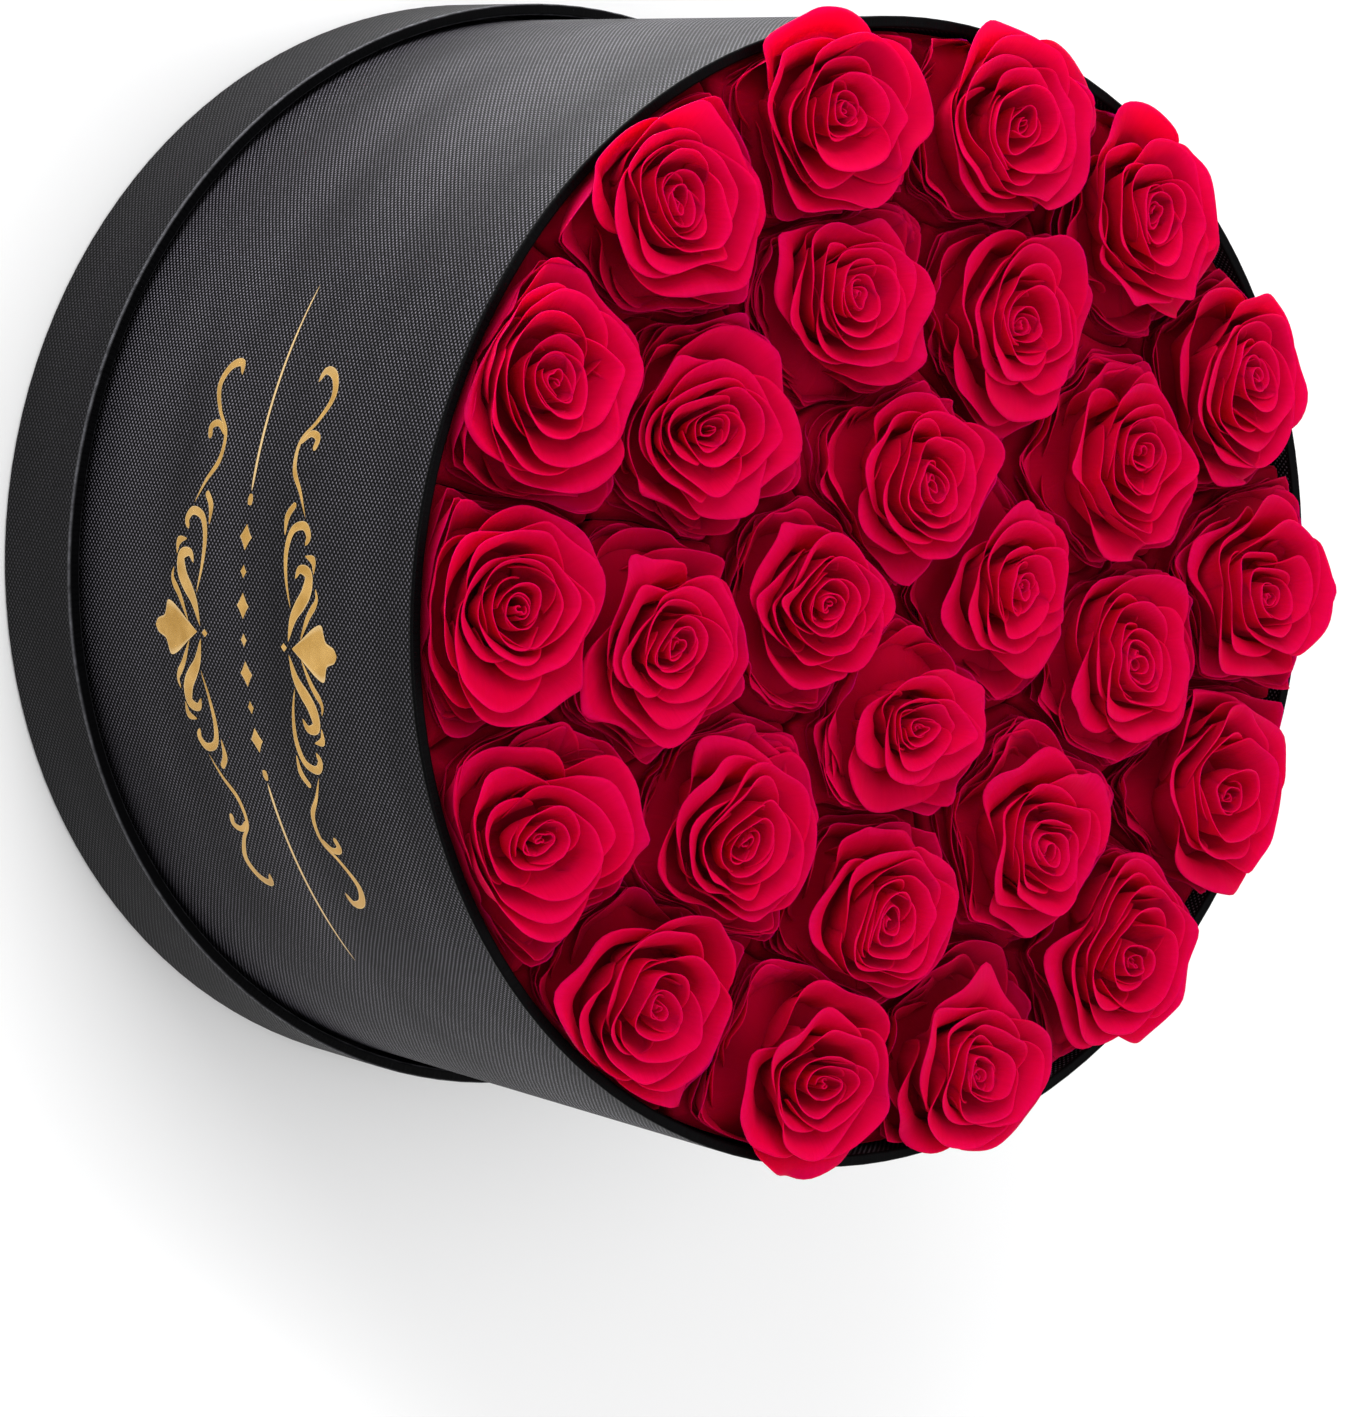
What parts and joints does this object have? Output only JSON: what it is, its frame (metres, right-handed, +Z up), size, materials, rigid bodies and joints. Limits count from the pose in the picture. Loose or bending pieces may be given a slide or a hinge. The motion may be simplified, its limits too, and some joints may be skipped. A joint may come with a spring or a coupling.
{
  "type": "flower box",
  "caption": "Round hat-style box in black embossed paper with gold foil ornament, standing in its upturned lid and filled with crimson rose heads set in foam.",
  "frame": {"origin": "centre of the underside of the upturned lid, on the table that the box stands on", "axes": "+Z up along the axis of the box, out of its open mouth; -Y out of the wall that carries the gold foil ornament; +X to the right of someone facing the ornament"},
  "size_m": [0.268, 0.268, 0.182],
  "materials": {
    "wrap_paper": "black linen-embossed paper, satin",
    "cover_paper": "black smooth paper, matt",
    "lining_paper": "black uncoated paper, matt",
    "greyboard": "raw grey board",
    "riser_card": "raw card",
    "floral_foam": "dry open-cell foam",
    "gold_foil": "hot-stamped gold foil, satin",
    "petals": "preserved petals, velvety",
    "calyx": "preserved green, matt",
    "stem": "dried stem"
  },
  "bodies": {
    "lid": {"lid_cover_disc": "cover_paper", "lid_disc_board": "greyboard", "lid_disc_lining": "lining_paper", "lid_wall_board": "greyboard", "lid_wall_lining": "lining_paper", "lid_wrap": "wrap_paper"},
    "box": {"box_base_board": "greyboard", "box_base_cover": "cover_paper", "box_base_lining": "lining_paper", "box_wall_board": "greyboard", "box_wall_lining": "lining_paper", "box_wrap": "wrap_paper", "foam_disc": "floral_foam", "platform_disc": "riser_card", "riser_ring": "riser_card", "rose_calyxes": "calyx", "rose_head_01": "petals", "rose_head_02": "petals", "rose_head_03": "petals", "rose_head_04": "petals", "rose_head_05": "petals", "rose_head_06": "petals", "rose_head_07": "petals", "rose_head_08": "petals", "rose_head_09": "petals", "rose_head_10": "petals", "rose_head_11": "petals", "rose_head_12": "petals", "rose_head_13": "petals", "rose_head_14": "petals", "rose_head_15": "petals", "rose_head_16": "petals", "rose_head_17": "petals", "rose_head_18": "petals", "rose_head_19": "petals", "rose_head_20": "petals", "rose_head_21": "petals", "rose_head_22": "petals", "rose_head_23": "petals", "rose_head_24": "petals", "rose_head_25": "petals", "rose_head_26": "petals", "rose_head_27": "petals", "rose_stems": "stem"}
  },
  "joints": [
    {"name": "lid_slide", "type": "slide", "parent": "lid", "child": "box", "axis": [0, 0, 1], "range_m": [0, 0.06]}
  ]
}
